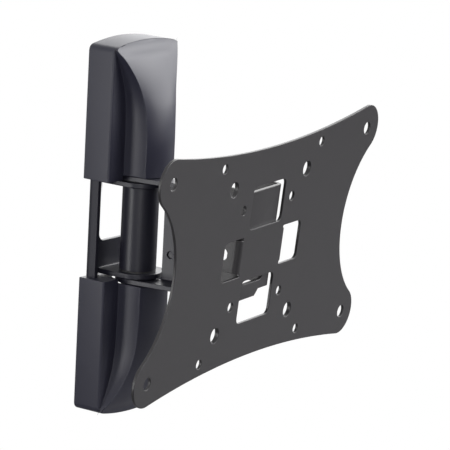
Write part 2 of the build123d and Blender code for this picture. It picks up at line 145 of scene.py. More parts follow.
class Finish(Board):  # one material

    def __init__(self, name, **fixed):
        self.material = bpy.data.materials.new(name)
        self.material.use_nodes = True
        super().__init__(self.material.node_tree)
        self.shader = self.tree.nodes["Principled BSDF"]
        for socketName, value in fixed.items():
            self.shader.inputs[socketName.replace("_", " ")].default_value = value
        self.coords = self.node("ShaderNodeTexCoord", {}, {}, "Object")

    def noise(self, scale, detail=2.0, roughness=0.5):
        sizes = {"Scale": scale, "Detail": detail, "Roughness": roughness}
        return self.node("ShaderNodeTexNoise", {}, {"Vector": self.coords, **sizes}, "Fac")

    def ramp(self, value, *stops):
        return self.node("ShaderNodeValToRGB", {"stops": stops}, {"Fac": value})

    def blend(self, share, first, second):
        # the colour sockets of a Mix node are its inputs 6 and 7 and its output 2
        colours = {0: share, 6: first, 7: second}
        return self.node("ShaderNodeMix", {"data_type": "RGBA"}, colours, 2)

    def bump(self, height, strength, distance):
        sockets = {"Height": height, "Strength": strength, "Distance": distance}
        return self.node("ShaderNodeBump", {}, sockets)

    def finished(self, colour, roughness, normal=None):
        self.feed(self.shader.inputs["Base Color"], colour)
        self.feed(self.shader.inputs["Roughness"], roughness)
        if normal:
            self.feed(self.shader.inputs["Normal"], normal)
        return self.material


class GeometryBoard(Board):  # a geometry tree with named inputs

    def __init__(self, name, inputs):
        super().__init__(bpy.data.node_groups.new(name, "GeometryNodeTree"))
        sockets = {"Geometry": "NodeSocketGeometry", **inputs, "Paint": "NodeSocketMaterial"}
        for socketName, kind in sockets.items():
            self.tree.interface.new_socket(socketName, in_out="INPUT", socket_type=kind)
        geometry = sockets["Geometry"]
        self.tree.interface.new_socket("Geometry", in_out="OUTPUT", socket_type=geometry)

    def given(self, socketName):
        return self.node("NodeGroupInput", {}, {}, socketName)

    def finish(self, form):
        real = self.node("GeometryNodeRealizeInstances", {}, {"Geometry": form}, "Geometry")
        paint = {"Geometry": real, "Material": self.given("Paint")}
        self.node("NodeGroupOutput", {}, {
            "Geometry": self.node("GeometryNodeSetMaterial", {}, paint, "Geometry"),
        })

    def run(self, piece, **values):
        # the tree run on a piece, and its result kept as plain mesh
        change = piece.modifiers.new(self.tree.name, "NODES")
        change.node_group = self.tree
        for item in self.tree.interface.items_tree:
            if item.in_out == "INPUT" and item.name in values:
                change[item.identifier] = values[item.name]
        settle(piece)
        return piece


# noises are given as scale, detail and roughness
coatSettings = dict(
    headTint=(0.0235, 0.0218, 0.0245, 1),
    headDeep=(0.0200, 0.0186, 0.0208, 1),
    armTint=(0.018, 0.018, 0.029, 1),
    armDeep=(0.015, 0.015, 0.024, 1),
    specular=0.5,
    grain=(2600, 3.0, 0.6),
    wave=(420, 1.0),
    specks=((0.35, 0.0), (0.72, 1.0)),
    grainShare=0.7,
    bumpStrength=0.55,
    grainDepth=0.02 * mm,
    roughness=0.36,
    roughnessSpread=0.16,
)

mouldSettings = dict(
    tint=(0.027, 0.027, 0.045, 1),
    deep=(0.023, 0.023, 0.039, 1),
    specular=0.45,
    pits=(5200, 2.0, 0.55),
    flow=(60,),
    bumpStrength=0.5,
    pitDepth=0.012 * mm,
    roughness=0.40,
    pitSpread=0.12,
    flowSpread=0.06,
)

steelSettings = dict(
    tint=(0.050, 0.050, 0.054, 1),
    worn=(0.16, 0.155, 0.15, 1),
    metal=0.9,
    specular=0.5,
    stain=(700, 4.0, 0.65),
    rubbed=((0.55, 0.0), (0.80, 1.0)),
    rubShare=0.5,
    bumpStrength=0.3,
    stainDepth=0.01 * mm,
    roughness=0.34,
    roughnessSpread=0.14,
)

nylonSettings = dict(
    tint=(0.05, 0.05, 0.052, 1),
    deep=(0.035, 0.035, 0.036, 1),
    specular=0.4,
    haze=(900,),
    roughness=0.5,
    roughnessSpread=0.1,
)


def powderCoat(name, tint, deep):
    # baked powder: fine orange peel over a slow waviness
    s = coatSettings
    made = Finish(name, Specular_IOR_Level=s["specular"])
    grain, wave = made.noise(*s["grain"]), made.noise(*s["wave"])
    grainShare, waveShare = s["grainShare"], 1 - s["grainShare"]
    colour = made.blend(made.ramp(grain, *s["specks"]) * grainShare + wave * waveShare, deep, tint)
    relief = made.bump(grain * grainShare + wave * waveShare, s["bumpStrength"], s["grainDepth"])
    return made.finished(colour, s["roughness"] + (grain - 0.5) * s["roughnessSpread"], relief)


def mouldedPlastic():
    s = mouldSettings
    made = Finish("mouldedCover", Specular_IOR_Level=s["specular"])
    pits, flow = made.noise(*s["pits"]), made.noise(*s["flow"])
    gloss = s["roughness"] + (pits - 0.5) * s["pitSpread"] + (flow - 0.5) * s["flowSpread"]
    relief = made.bump(pits, s["bumpStrength"], s["pitDepth"])
    return made.finished(made.blend(flow, s["deep"], s["tint"]), gloss, relief)


def blackedSteel():
    s = steelSettings
    made = Finish("blackedSteel", Metallic=s["metal"], Specular_IOR_Level=s["specular"])
    stain = made.noise(*s["stain"])
    rub = made.ramp(stain, *s["rubbed"])
    relief = made.bump(stain, s["bumpStrength"], s["stainDepth"])
    colour = made.blend(rub * s["rubShare"], s["tint"], s["worn"])
    return made.finished(colour, s["roughness"] + stain * s["roughnessSpread"], relief)


def dullNylon():
    s = nylonSettings
    made = Finish("dullNylon", Specular_IOR_Level=s["specular"])
    haze = made.noise(*s["haze"])
    colour = made.blend(haze, s["deep"], s["tint"])
    return made.finished(colour, s["roughness"] + haze * s["roughnessSpread"])


def arcThrough(start, middle, end, steps):
    # points of the circle through three points, in the plane
    (ax, ay), (bx, by), (cx, cy) = start, middle, end
    across = 2 * (ax * (by - cy) + bx * (cy - ay) + cx * (ay - by))
    aa, bb, cc = ax * ax + ay * ay, bx * bx + by * by, cx * cx + cy * cy
    ux = (aa * (by - cy) + bb * (cy - ay) + cc * (ay - by)) / across
    uy = (aa * (cx - bx) + bb * (ax - cx) + cc * (bx - ax)) / across
    radius = math.hypot(ax - ux, ay - uy)
    first = math.atan2(ay - uy, ax - ux)
    turn = (math.atan2(cy - uy, cx - ux) - first) % math.tau
    if (math.atan2(by - uy, bx - ux) - first) % math.tau > turn:
        turn -= math.tau
    angles = [first + turn * k / steps for k in range(steps + 1)]
    return [(ux + radius * math.cos(angle), uy + radius * math.sin(angle)) for angle in angles]


def turnAngles(count):
    return [math.tau * k / count for k in range(count)]


def ringPoints(x, y, radius, count=32):
    return [(x + radius * math.cos(a), y + radius * math.sin(a)) for a in turnAngles(count)]


def circle(radius, height, count):
    return [(x, y, height) for x, y in ringPoints(0, 0, radius, count)]


def rounded(corners, steps=5):
    # a closed outline of (x, y, radius) corners, with the radii put in
    outline = []
    for place, (x, y, radius) in enumerate(corners):
        if not radius:
            outline.append((x, y))
            continue
        here = Vector((x, y))
        before = (Vector(corners[place - 1][:2]) - here).normalized()
        after = (Vector(corners[(place + 1) % len(corners)][:2]) - here).normalized()
        half = math.acos(max(-1, min(1, before.dot(after)))) / 2
        middle = here + (before + after).normalized() * radius * (1 / math.sin(half) - 1)
        reach = radius / math.tan(half)
        outline += arcThrough(here + before * reach, middle, here + after * reach, steps)
    return outline


def added(name, mesh):
    piece = bpy.data.objects.new(name, mesh)
    bpy.context.scene.collection.objects.link(piece)
    return piece


def dropped(*forms):
    for form in forms:
        mesh = form.data
        bpy.data.objects.remove(form)
        bpy.data.meshes.remove(mesh)


def lofted(loops, closed=False):
    # skin over equal loops of points in mm, capped at both ends or joined into a ring
    shape = bmesh.new()
    rings = [[shape.verts.new(Vector(point) * mm) for point in loop] for loop in loops]
    spans = list(zip(rings, rings[1:]))
    if closed:
        spans.append((rings[-1], rings[0]))
    else:
        shape.faces.new(rings[0][::-1])
        shape.faces.new(rings[-1])
    for low, high in spans:
        for k in range(len(low)):
            shape.faces.new((low[k - 1], low[k], high[k], high[k - 1]))
    bmesh.ops.recalc_face_normals(shape, faces=shape.faces)
    mesh = bpy.data.meshes.new("form")
    shape.to_mesh(mesh)
    shape.free()
    return added("form", mesh)


def spun(profile, count):
    # a closed (radius, height) profile turned about the upright axis
    rings = [
        [(r * math.cos(angle), r * math.sin(angle), z) for r, z in profile]
        for angle in turnAngles(count)
    ]
    return lofted(rings, True)


def prism(outline, axis, start, end):
    # an outline in the plane across an axis, drawn out along it
    order = {
        "x": lambda u, v, w: (w, u, v),
        "y": lambda u, v, w: (u, w, v),
        "z": lambda u, v, w: (u, v, w),
    }[axis]
    return lofted([[order(u, v, w) for u, v in outline] for w in (start, end)])


def settle(piece):
    # modifiers become plain mesh
    seen = bpy.context.evaluated_depsgraph_get()
    mesh = bpy.data.meshes.new_from_object(piece.evaluated_get(seen), depsgraph=seen)
    piece.modifiers.clear()
    old = piece.data
    piece.data = mesh
    bpy.data.meshes.remove(old)


def combine(base, operation, other):
    other.data.materials.clear()
    change = base.modifiers.new("change", "BOOLEAN")
    change.solver = "EXACT"
    change.operation = operation
    change.object = other
    settle(base)
    dropped(other)
    return base


def joined(name, *forms):
    # several closed shells as one piece
    shape = bmesh.new()
    for form in forms:
        shape.from_mesh(form.data)
    mesh = bpy.data.meshes.new(name)
    shape.to_mesh(mesh)
    shape.free()
    dropped(*forms)
    return added(name, mesh)


def placed(piece, matrix):
    piece.data.transform(matrix)
    return piece


edgeForm = dict(doubles=0.004 * mm, flatAngle=0.3, sharpAngle=32, turnedAngle=30, segments=2)


def broken(piece, width):
    # edges broken as paint and moulding leave them, faces smooth up to a sharp angle
    sharp = math.radians(edgeForm["sharpAngle"])
    flat = math.radians(edgeForm["flatAngle"])
    shape = bmesh.new()
    shape.from_mesh(piece.data)
    bmesh.ops.remove_doubles(shape, verts=shape.verts, dist=edgeForm["doubles"])
    bmesh.ops.dissolve_limit(shape, angle_limit=flat, verts=shape.verts, edges=shape.edges)
    for edge in shape.edges:
        edge.smooth = len(edge.link_faces) == 2 and edge.calc_face_angle(0) < sharp
    for face in shape.faces:
        face.smooth = True
    shape.to_mesh(piece.data)
    shape.free()
    bevel = piece.modifiers.new("edges", "BEVEL")
    bevel.width = width * mm
    bevel.segments = edgeForm["segments"]
    bevel.limit_method = "ANGLE"
    bevel.angle_limit = sharp
    bevel.harden_normals = True
    bevel.use_clamp_overlap = False
    settle(piece)
    return piece


def turnedSmooth(name, piece):
    piece.name = name
    for face in piece.data.polygons:
        face.use_smooth = True
    piece.data.set_sharp_from_angle(angle=math.radians(edgeForm["turnedAngle"]))
    return piece


def nodeCopy(node, reshape=None, frameMatrix=None):
    # a CAD node's mesh as a piece of its own, with its points moved in a frame where asked
    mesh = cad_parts[node].data.copy()
    if reshape:
        inside = frameMatrix.inverted()
        for vertex in mesh.vertices:
            local = (inside @ vertex.co) / mm
            vertex.co = frameMatrix @ (Vector(reshape(*local)) * mm)
    return added(node + "_soft", mesh)


def dress(piece, material, body, slot, *nodes):
    piece.data.materials.clear()
    piece.data.materials.append(material)
    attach(piece, body)
    if nodes:
        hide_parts(*nodes)


def makeGridTree():
    # copies of the piece at the points of an upright grid: holes, windows, washers, screws
    counts = {"Columns": "NodeSocketInt", "Rows": "NodeSocketInt"}
    made = GeometryBoard("formOnGrid", {
        **counts, "Width": "NodeSocketFloat", "Height": "NodeSocketFloat",
    })
    grid = made.node("GeometryNodeMeshGrid", {}, {
        "Vertices X": made.given("Columns"), "Vertices Y": made.given("Rows"),
        "Size X": made.given("Width"), "Size Y": made.given("Height"),
    }, "Mesh")
    upright = made.node("GeometryNodeTransform", {}, {
        "Geometry": grid, "Rotation": (math.pi / 2, 0, 0),
    }, "Geometry")
    made.finish(made.node("GeometryNodeInstanceOnPoints", {}, {
        "Points": upright, "Instance": made.given("Geometry"),
    }, "Instances"))
    return made


def repeated(form, columns, rows, width, height, paint):
    sizes = {"Columns": columns, "Rows": rows, "Width": width * mm, "Height": height * mm}
    return gridTree.run(form, Paint=paint, **sizes)


def makeCamera():
    data = bpy.data.cameras.new("photoCamera")
    data.sensor_width = shot["sensor"]
    data.lens = shot["focalPixels"] / shot["imagePixels"] * shot["sensor"]
    data.shift_x = -shot["nudge"] / shot["imagePixels"]
    data.shift_y = -shot["rise"] / shot["imagePixels"]
    data.clip_start = shot["near"]
    data.clip_end = shot["far"]
    camera = bpy.data.objects.new("photoCamera", data)
    right = shot["right"].normalized()
    back = right.cross(shot["up"]).normalized()
    turn = Matrix((right, back.cross(right), back)).transposed()
    camera.matrix_world = Matrix.Translation(shot["place"]) @ turn.to_4x4()
    bpy.context.scene.collection.objects.link(camera)
    bpy.context.scene.camera = camera


def makeStage():
    half = studio["floorSize"] / 2
    low = cadBox[0][2] - studio["floorDrop"]
    corners = [(-half, -half, low), (half, -half, low), (half, half, low), (-half, half, low)]
    mesh = bpy.data.meshes.new("studioFloor")
    mesh.from_pydata(corners, [], [(0, 1, 2, 3)])
    floor = added("studioFloor", mesh)
    paint = Finish(
        "floorPaint", Roughness=studio["floorRoughness"], Specular_IOR_Level=0.0,
        Base_Color=studio["floorTint"],
    )
    # the camera sees a white floor, the lamps a plain one
    shown = paint.node("ShaderNodeMixShader", {}, {
        0: paint.node("ShaderNodeLightPath", {}, {}, "Is Camera Ray"),
        1: Wire(paint, paint.shader.outputs[0]),
        2: paint.node("ShaderNodeEmission", {}, {"Strength": 1.0}),
    })
    paint.feed(paint.tree.nodes["Material Output"].inputs["Surface"], shown)
    mesh.materials.append(paint.material)


def makeWorld():
    world = bpy.data.worlds.new("studioAir")
    bpy.context.scene.world = world
    world.use_nodes = True
    board = Board(world.node_tree)
    camera, clear, mirrored = [
        board.node("ShaderNodeLightPath", {}, {}, ray)
        for ray in ("Is Camera Ray", "Is Transmission Ray", "Is Glossy Ray")
    ]
    seen = (camera + clear).atMost(1)
    indoors = mirrored * studio["mirrorLevel"] + (1 - mirrored) * studio["ambient"]
    background = world.node_tree.nodes["Background"].inputs
    board.feed(background["Strength"], seen + (1 - seen) * indoors)
    board.feed(background["Color"], (1, 1, 1, 1))


def makeLamps():
    for lamp in lamps:
        data = bpy.data.lights.new(lamp["name"], "AREA")
        data.shape = "RECTANGLE"
        data.size, data.size_y = lamp["size"]
        data.energy = lamp["power"]
        light = bpy.data.objects.new(lamp["name"], data)
        light.location = lamp["place"]
        away = Vector(lamp["place"]) - studio["aim"]
        light.rotation_mode = "QUATERNION"
        light.rotation_quaternion = away.to_track_quat("Z", "Y")
        bpy.context.scene.collection.objects.link(light)


makeCamera()
makeStage()
makeWorld()
makeLamps()
bpy.context.scene.view_settings.view_transform = "Standard"
print("camera and studio ready")

headCoat = powderCoat("headCoat", coatSettings["headTint"], coatSettings["headDeep"])
armCoat = powderCoat("armCoat", coatSettings["armTint"], coatSettings["armDeep"])
plastic = mouldedPlastic()
steel = blackedSteel()
nylon = dullNylon()
gridTree = makeGridTree()

# frames of the pin, the tilt bolt and the plate: origin in mm and turn in degrees at rest
joint = dict(
    pinOut=17.9, swivelRest=8.0, tiltRest=5.44, tiltOut=52.8, tiltUp=12.0,
    behindPlate=19.8, abovePlate=12.0,
)


def moved(x, y, z):
    return Matrix.Translation(Vector((x, y, z)) * mm)


def turned(degrees, axis):
    return Matrix.Rotation(math.radians(degrees), 4, axis)


pinFrame = moved(0, -joint["pinOut"], 0)
armFrame = pinFrame @ turned(joint["swivelRest"], "Z")
tiltFrame = armFrame @ moved(0, -joint["tiltOut"], joint["tiltUp"]) @ turned(joint["tiltRest"], "X")
plateFrame = tiltFrame @ moved(0, -joint["behindPlate"], -joint["abovePlate"])
tiltBoltFrame = tiltFrame @ turned(90, "Y")

# moulded covers: a flat box with a crowned end, and a hood that rises out of it to the swivel
cover = dict(
    width=50.0, depth=16.5, end=97.0, start=25.6, wall=2.0, crown=2.8, corner=3.4, edge=1.5,
    hoodWidth=26.0, rise=12.8, lean=1.4, bulge=2.9, hollow=0.55, leastRise=0.2, leastGrown=0.02,
    runOut=6.0, reliefWidth=27.0, reliefTop=28.1, softEdge=0.4,
    beadStart=6.0, beadRadius=0.28, beadSides=8, beadSteps=40,
    flankSteps=8, faceSteps=16, crownSteps=24, cornerSteps=4, mouthSteps=20,
    hoodSteps=46, crowding=1.2,
    past=5.0,  # how far a cutter reaches past what it cuts
    # distance from the far end, share of the extra width, share of the rise
    stations=[
        (-4, 1.05, 0), (0, 1.03, 0.02), (3.5, 0.97, 0.11), (8, 0.74, 0.33), (16, 0.43, 0.59),
        (24, 0.2, 0.77), (34, 0.05, 0.92), (48, 0, 0.99), (59, 0, 1), (90, 0, 1),
    ],
)


def between(stations, distance):
    # smooth values between stations
    last = len(stations) - 1
    k = max(j for j in range(last) if stations[j][0] <= distance)

    def slope(j, column):
        low, high = stations[max(j - 1, 0)], stations[min(j + 1, last)]
        return (high[column] - low[column]) / (high[0] - low[0])

    span = stations[k + 1][0] - stations[k][0]
    t = (distance - stations[k][0]) / span
    values = []
    for column in (1, 2):
        start, end = stations[k][column], stations[k + 1][column]
        values.append(
            start * (2 * t**3 - 3 * t**2 + 1) + end * (3 * t**2 - 2 * t**3)
            + span * slope(k, column) * (t**3 - 2 * t**2 + t)
            + span * slope(k + 1, column) * (t**3 - t**2)
        )
    return values


def hoodAt(distance):
    # half width and share of the rise at a distance from the far end
    spread, climb = between(cover["stations"], distance)
    extra = (cover["width"] - cover["hoodWidth"]) / 2
    return cover["hoodWidth"] / 2 + spread * extra, climb


def hoodSection(half, rise, grown):
    lean, bulge, hollow = [grown * cover[name] for name in ("lean", "bulge", "hollow")]
    base = -cover["depth"]
    crease, front, middle = half - lean, base - rise, base - rise / 2
    waist = half - lean / 2 - hollow
    root = base + 2 * cover["wall"]
    left = arcThrough((-half, base), (-waist, middle), (-crease, front), cover["flankSteps"])
    face = arcThrough((-crease, front), (0, front - bulge), (crease, front), cover["faceSteps"])
    right = arcThrough((crease, front), (waist, middle), (half, base), cover["flankSteps"])
    return left + face[1:] + right[1:] + [(half, root), (-half, root)]


def hoodForm(side, inset):
    farEnd, first, count = cover["end"] - inset, cover["stations"][0][0], cover["hoodSteps"]
    length = cover["end"] - cover["start"] + cover["runOut"] - first
    loops = []
    for k in range(count + 1):
        distance = first + length * (k / count) ** cover["crowding"]
        half, climb = hoodAt(distance)
        rise = max(climb * cover["rise"] - inset / 2, cover["leastRise"])
        section = hoodSection(half - inset, rise, max(climb, cover["leastGrown"]))
        loops.append([(x, y, side * (farEnd - distance)) for x, y in section])
    return lofted(loops)


def rootBeads(side):
    # the thin raised line where the hood meets the base, on both flanks
    c = cover
    length = c["end"] - c["reliefTop"] - c["beadStart"]
    beads = []
    for hand in (-1, 1):
        loops = []
        for k in range(c["beadSteps"] + 1):
            distance = c["beadStart"] + length * k / c["beadSteps"]
            x = hand * hoodAt(distance)[0]
            bead = ringPoints(x, -c["depth"], c["beadRadius"], c["beadSides"])
            loops.append([(x, y, side * (c["end"] - distance)) for x, y in bead])
        beads.append(lofted(loops))
    return beads


def coverOutline(inset, start, side):
    half, end, corner = cover["width"] / 2 - inset, cover["end"] - inset, cover["corner"]
    shoulder = end - cover["crown"]
    crown = arcThrough((half, shoulder), (0, end), (-half, shoulder), cover["crownSteps"])
    corners = [(half, start, 0), (half, shoulder, corner)]
    corners += [(x, z, 0) for x, z in crown if abs(x) < half - corner]
    corners += [(-half, shoulder, corner), (-half, start, 0)]
    return [(x, side * z) for x, z in rounded(corners, cover["cornerSteps"])]


def makeCover(name, side):
    c = cover
    half, start, wall, past = c["width"] / 2, c["start"], c["wall"], c["past"]
    deep = c["depth"] + c["rise"] + c["bulge"] + past

    def box(inset, front, back, radius, low):
        wide = half - inset
        plan = [(-wide, back, 0), (wide, back, 0), (wide, front, radius), (-wide, front, radius)]
        return prism(rounded(plan), "z", side * low, side * (c["end"] + past))

    def trimmed(form, inset, low):
        combine(form, "UNION", hoodForm(side, inset))
        trim = prism(coverOutline(inset, low, side), "y", -deep, 2 * past)
        return combine(form, "INTERSECT", trim)

    inside = trimmed(box(wall, -c["depth"] + wall, past, 0, start + wall), wall, start + wall)
    outside = trimmed(box(0, -c["depth"], 0, c["edge"], start), 0, start)
    combine(outside, "DIFFERENCE", inside)
    relief, pin = c["reliefWidth"] / 2, -joint["pinOut"]
    mouth = [(-relief, -deep), (relief, -deep)]
    mouth += arcThrough((relief, pin), (0, pin + relief), (-relief, pin), c["mouthSteps"])
    cut = prism(mouth, "z", side * (start - 2 * past), side * c["reliefTop"])
    combine(outside, "DIFFERENCE", cut)
    return joined(name, broken(outside, c["softEdge"]), *rootBeads(side))


for node, side in (("upper_cover", 1), ("lower_cover", -1)):
    shell = makeCover(node + "_shell", side)
    dress(shell, plastic, "wall_bracket", "moulded_cover", node)
    print("moulded", node)

# folded bracket behind the plate, in the plate's frame
bracket = dict(
    width=33.0, sheet=2.0, bend=1.0, plateSheet=1.5, top=32.4, foot=-24.2, step=-20.9,
    stepStart=1.6, noseRadius=10.0, flank=10.5, topReach=17.5, footReach=7.0, notch=1.6,
    heelReach=18.0, heelTop=-8.5, heelFoot=-21.5, openingFoot=-16.1, openingTop=3.0,
    openingWidth=21.0, openingMiddle=-3.0, openingCorner=2.5, softEdge=0.3, past=5.0,
    noseTurn=range(10, -91, -10),  # degrees
)


def makeBracket():
    b = bracket
    half, sheet, face, bend = b["width"] / 2, b["sheet"], b["plateSheet"], b["bend"]
    top, foot, past, nose = b["top"], b["foot"], b["past"], b["noseRadius"]
    noseBack, noseUp = joint["behindPlate"], joint["abovePlate"]
    back = noseBack + nose
    folded = [
        (-half, back, 0), (-half, face, bend + sheet), (half, face, bend + sheet), (half, back, 0),
        (half - sheet, back, 0), (half - sheet, face + sheet, bend),
        (-half + sheet, face + sheet, bend), (-half + sheet, back, 0),
    ]
    cheek = [(b["topReach"], top, 0)]
    for degrees in b["noseTurn"]:
        angle = math.radians(degrees)
        cheek.append((noseBack + nose * math.cos(angle), noseUp + nose * math.sin(angle), 0))
    cheek += [
        (b["flank"], noseUp - nose, b["notch"]), (b["flank"], b["heelTop"], b["notch"]),
        (b["heelReach"], b["heelTop"], b["notch"]), (b["heelReach"], b["heelFoot"], 0),
        (b["footReach"], foot, 0), (0, foot, 0), (0, top, 0),
    ]
    made = prism(rounded(folded), "z", foot, top)
    combine(made, "INTERSECT", prism(rounded(cheek), "x", -half - past, half + past))
    left = b["openingMiddle"] - b["openingWidth"] / 2
    right = left + b["openingWidth"]
    ends, corner = (b["openingFoot"], b["openingTop"]), b["openingCorner"]
    opening = [(left, ends[0]), (right, ends[0]), (right, ends[1]), (left, ends[1])]
    opening = rounded([(x, z, corner) for x, z in opening])
    combine(made, "DIFFERENCE", prism(opening, "y", -past, face + sheet + past))
    rise, start = b["step"] - foot, b["stepStart"]
    step = [
        (start - rise, foot - rise), (start + rise, b["step"]),
        (half + past, b["step"]), (half + past, foot - rise),
    ]
    combine(made, "DIFFERENCE", prism(step, "y", -past, back + past))
    made.name = "bracket_folded"
    return placed(broken(made, b["softEdge"]), plateFrame)


dress(makeBracket(), headCoat, "tilt_head", "powder_coat", "tilt_bracket")
print("folded bracket")

# screen plate: lobed sheet with hole patterns, windows and two folded tie tabs
plate = dict(
    sheet=1.5, across=100.0, up=50.0, lobe=12.3, waistUp=54.6, waistOut=86.5, softEdge=0.26,
    topSteps=48, lobeSteps=22, sideSteps=32,
    tallWindow=(33.2, 22.2), tallMiddle=24.5, sideWindow=(18.8, 20.4), sideStart=20.3,
    windowCorner=3.0, tabCorner=0.6, collarOut=5.2, collarFoot=0.5, collarTop=2.4,
    tabHalf=8.6, tabFold=3.0, tabReach=17.7, tabRoot=1.0, tabHole=3.3, tabHoleBehind=10.0,
    outerTurn=range(0, 91, 10), innerTurn=range(90, -1, -15),  # degrees
    past=5.0,
    # half width and half height of each pattern, and its holes' radius
    patterns=dict(
        corners=(100, 50, 3.25), square100=(50, 50, 2.5), square75=(37.5, 37.5, 4.0),
        square50=(25, 25, 2.5),
    ),
)


def lobedOutline():
    p = plate
    lobe, radius = Vector((p["across"], p["up"])), p["lobe"]

    def waistRadius(along, across):
        return (along**2 + across**2 - radius**2) / (2 * (radius + across))

    topRadius = waistRadius(p["across"], p["up"] - p["waistUp"])
    sideRadius = waistRadius(p["up"], p["across"] - p["waistOut"])
    topCentre = Vector((0, p["waistUp"] + topRadius))
    sideCentre = Vector((p["waistOut"] + sideRadius, 0))
    start = lobe + (topCentre - lobe).normalized() * radius
    end = lobe + (sideCentre - lobe).normalized() * radius
    tip = lobe + Vector((1, 1)).normalized() * radius
    top = arcThrough((-start.x, start.y), (0, p["waistUp"]), start, p["topSteps"])
    corner = arcThrough(start, tip, end, p["lobeSteps"])
    side = arcThrough(end, (p["waistOut"], 0), (end.x, -end.y), p["sideSteps"])
    half = top[:-1] + corner[:-1] + side[:-1]
    half += [(x, -y) for x, y in corner[::-1]][:-1]
    return half + [(-x, -y) for x, y in half]


def onPattern(name, radius, low, high):
    halfWidth, halfHeight, holeRadius = plate["patterns"][name]
    form = prism(ringPoints(0, 0, radius or holeRadius), "y", low, high)
    return repeated(form, 2, 2, 2 * halfWidth, 2 * halfHeight, headCoat)


def tabProfile():
    p = plate
    start, fold, sheet, reach = p["sideStart"], p["tabFold"], p["sheet"], p["tabReach"]
    inner = fold - sheet

    def bend(radius, degrees):
        angles = [math.radians(a) for a in degrees]
        return [(start + radius * math.sin(a), fold - radius * math.cos(a)) for a in angles]

    return [
        (start - p["tabRoot"], 0), *bend(fold, p["outerTurn"]),
        (start + fold, reach), (start + inner, reach),
        *bend(inner, p["innerTurn"]), (start - p["tabRoot"], sheet),
    ]


def makePlate():
    p = plate
    low, high = -p["past"], p["collarTop"] + p["past"]
    made = prism(lobedOutline(), "y", 0, p["sheet"])
    combine(made, "UNION", onPattern("square75", p["collarOut"], p["collarFoot"], p["collarTop"]))
    cuts = [onPattern(name, None, low, high) for name in p["patterns"]]
    corner, (halfX, halfZ) = p["windowCorner"], [size / 2 for size in p["tallWindow"]]
    tall = [(-halfX, -halfZ), (halfX, -halfZ), (halfX, halfZ), (-halfX, halfZ)]
    window = prism(rounded([(x, z, corner) for x, z in tall]), "y", low, high)
    cuts.append(repeated(window, 1, 2, 0, 2 * p["tallMiddle"], headCoat))
    wide, halfZ = p["sideWindow"][0], p["sideWindow"][1] / 2
    for side in (1, -1):
        near, far, tight = side * p["sideStart"], side * (p["sideStart"] + wide), p["tabCorner"]
        cuts.append(prism(rounded([
            (near, -halfZ, tight), (far, -halfZ, corner),
            (far, halfZ, corner), (near, halfZ, tight),
        ]), "y", low, high))
    combine(made, "DIFFERENCE", joined("cuts", *cuts))
    for side in (1, -1):
        tab = [(side * x, y) for x, y in tabProfile()]
        combine(made, "UNION", prism(tab, "z", -p["tabHalf"], p["tabHalf"]))
    hole = ringPoints(p["tabHoleBehind"], 0, p["tabHole"])
    combine(made, "DIFFERENCE", prism(hole, "x", -p["up"], p["up"]))
    made.name = "plate_pressed"
    return placed(broken(made, p["softEdge"]), plateFrame)


dress(makePlate(), headCoat, "tilt_head", "powder_coat", "vesa_plate")
print("pressed plate")

# small set screws that fill the yoke's two pilot holes
pilot = dict(out=18.7, up=12.0, search=2.6, gap=0.03, sunk=0.95, points=24)


def makePilotScrews():
    # the hole's size and the web's two faces are read from the yoke
    inside = armFrame.inverted()
    rim = []
    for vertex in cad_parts["arm_yoke"].data.vertices:
        x, y, z = (inside @ vertex.co) / mm
        away = math.hypot(y + pilot["out"], z - pilot["up"])
        if away < pilot["search"]:
            rim.append((away, x))
    radius = min(away for away, x in rim) - pilot["gap"]
    low, high = min(x for away, x in rim), max(x for away, x in rim)
    section = ringPoints(-pilot["out"], 0, radius, pilot["points"])
    screw = prism(section, "x", low + pilot["sunk"], high - pilot["sunk"])
    screws = placed(repeated(screw, 1, 2, 0, 2 * pilot["up"], steel), armFrame)
    screws.name = "pilot_screws"
    return screws


dress(makePilotScrews(), steel, "swivel_arm", "black_steel")

# channel: the ears' round ends a little larger
ear = dict(radius=10.8, newRadius=12.8, root=-4.6, tolerance=0.06)


def widenEars(x, y, z):
    out = Vector((x, y))
    onTip = abs(out.length - ear["radius"]) < ear["tolerance"]
    if onTip and y < ear["root"] + joint["pinOut"]:
        out *= ear["newRadius"] / ear["radius"]
    return out.x, out.y, z


# pieces that keep the CAD's mesh, with their edges broken
kept = [
    ("wall_channel", "wall_bracket", 0.3, widenEars, pinFrame),
    ("pivot_sleeve", "wall_bracket", 0.35, None, None),
    ("arm_yoke", "swivel_arm", 0.3, None, None),
]
for node, body, width, reshape, matrix in kept:
    piece = broken(nodeCopy(node, reshape, matrix), width)
    for vertex in piece.data.vertices:  # nothing reaches into the wall
        vertex.co.y = min(vertex.co.y, 0.0)
    dress(piece, armCoat, body, "powder_coat", node)
    print("softened", node)

# screws, nuts and washers
pinBolt = dict(
    size=8.0, pitch=1.25, flats=13.0, head=5.3, nut=6.8, washer=17.0, washerSheet=1.6,
    spring=14.0, springSheet=2.2, bore=8.2, gripHalf=27.9, tipOut=1.5,
)
tiltBolt = dict(
    size=6.0, pitch=1.0, flats=10.0, head=4.0, nut=5.0, washer=14.0, washerSheet=1.6,
    spring=10.5, springSheet=1.6, bore=6.2, gripHalf=16.5, tipOut=1.5,
)
hexForm = dict(points=72, flatShare=0.94, cone=math.tan(math.radians(28)), collar=0.3, crater=0.6)
nutForm = dict(threadDepth=0.25, lead=0.8)
threadForm = dict(
    points=48, perPitch=8, depth=0.54, fadeSteps=6, fadeOut=1.2, overlap=1.0, plain=0.5,
)
ringForm = dict(points=64, edge=0.25)
splitForm = dict(points=60, rise=0.12, gap=0.12, edge=0.2)


def hexRadius(angle, flats):
    sixth = math.pi / 6
    return flats / 2 / math.cos((angle + sixth) % (2 * sixth) - sixth)


def hexFall(radius, flats):
    # how far the cone has come down where the hexagon is this wide
    return (radius - flats / 2 * hexForm["flatShare"]) * hexForm["cone"]


